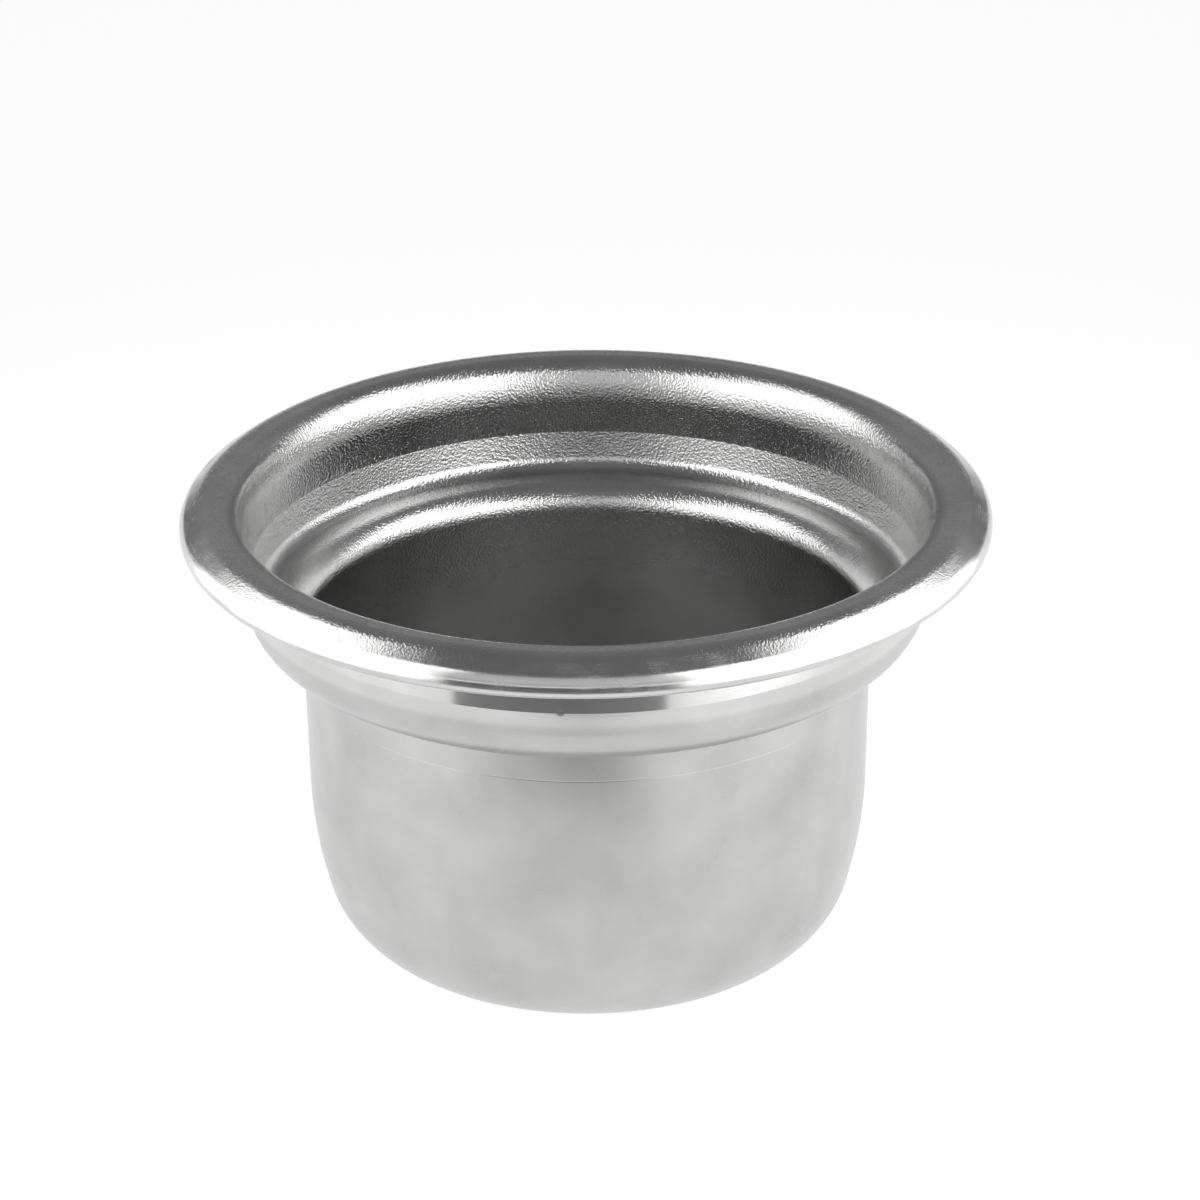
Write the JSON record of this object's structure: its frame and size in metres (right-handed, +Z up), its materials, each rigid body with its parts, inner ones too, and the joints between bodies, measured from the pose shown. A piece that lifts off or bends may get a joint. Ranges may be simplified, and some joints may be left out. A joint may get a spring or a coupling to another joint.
{
  "type": "espresso filter basket",
  "caption": "Deep drawn stainless filter basket with a rolled rim, a wide flared collar, a narrower cup and a perforated floor.",
  "frame": {"origin": "centre of the floor's underside, on which the basket stands", "axes": "+Z up through the open mouth, along the axis of the cup; +X and +Y are any two directions across it"},
  "size_m": [0.07, 0.07, 0.0416],
  "materials": {
    "steel": "satin, with a fine mottle from drawing and light wear on the rim"
  },
  "bodies": {
    "root": {"filter_basket": "steel"}
  },
  "joints": []
}
